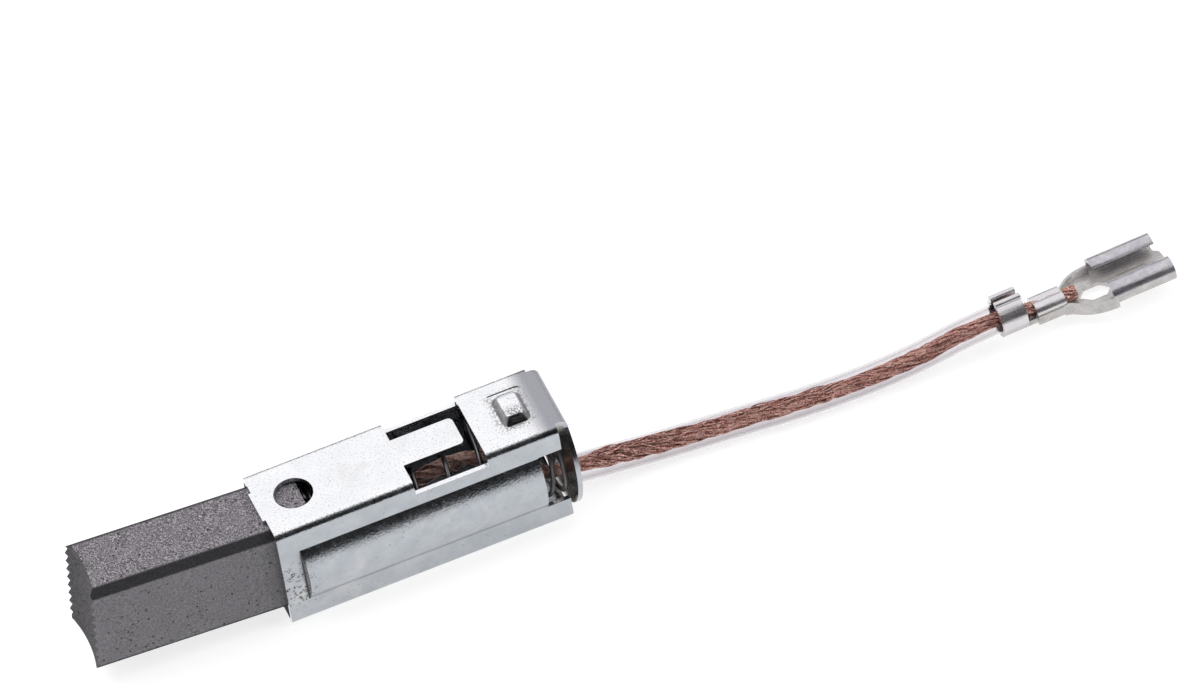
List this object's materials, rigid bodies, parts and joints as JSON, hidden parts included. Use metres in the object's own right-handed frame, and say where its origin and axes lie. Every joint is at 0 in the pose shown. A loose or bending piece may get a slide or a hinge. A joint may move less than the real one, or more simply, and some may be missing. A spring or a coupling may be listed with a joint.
{
  "type": "spring cartridge carbon brush",
  "caption": "Carbon brush sliding in a folded sheet cartridge with a coil spring, a copper shunt in a clear sleeve and a push-on receptacle.",
  "frame": {"origin": "middle of the mouth edge of the cartridge's seam face, on which the brush lies", "axes": "+X from the cartridge's mouth to the end plate and the receptacle, +Z from the seam face up to the window face, +Y across"},
  "size_m": [0.1153, 0.0132, 0.0141],
  "materials": {
    "zinc_sheet": "bright zinc plate",
    "carbon": "matt pressed graphite",
    "copper": "bare stranded copper",
    "spring_steel": "dark spring wire",
    "clear_sleeve": "clear flexible tube",
    "tinned_brass": "satin tin plate"
  },
  "bodies": {
    "cartridge": {"holder": "zinc_sheet", "spring": "spring_steel", "shunt_inner": "copper", "shunt_lead": "copper", "sleeve": "clear_sleeve", "terminal": "tinned_brass"},
    "brush": {"carbon_block": "carbon", "shunt_tamping": "copper"}
  },
  "joints": [
    {"name": "brush_slide", "type": "slide", "parent": "cartridge", "child": "brush", "axis": [0.9986, -0.0279, -0.0454], "range_m": [0, 0.012], "stiffness_N_per_m": 100, "springref_m": -0.002, "deforming": ["spring", "shunt_inner"]}
  ]
}
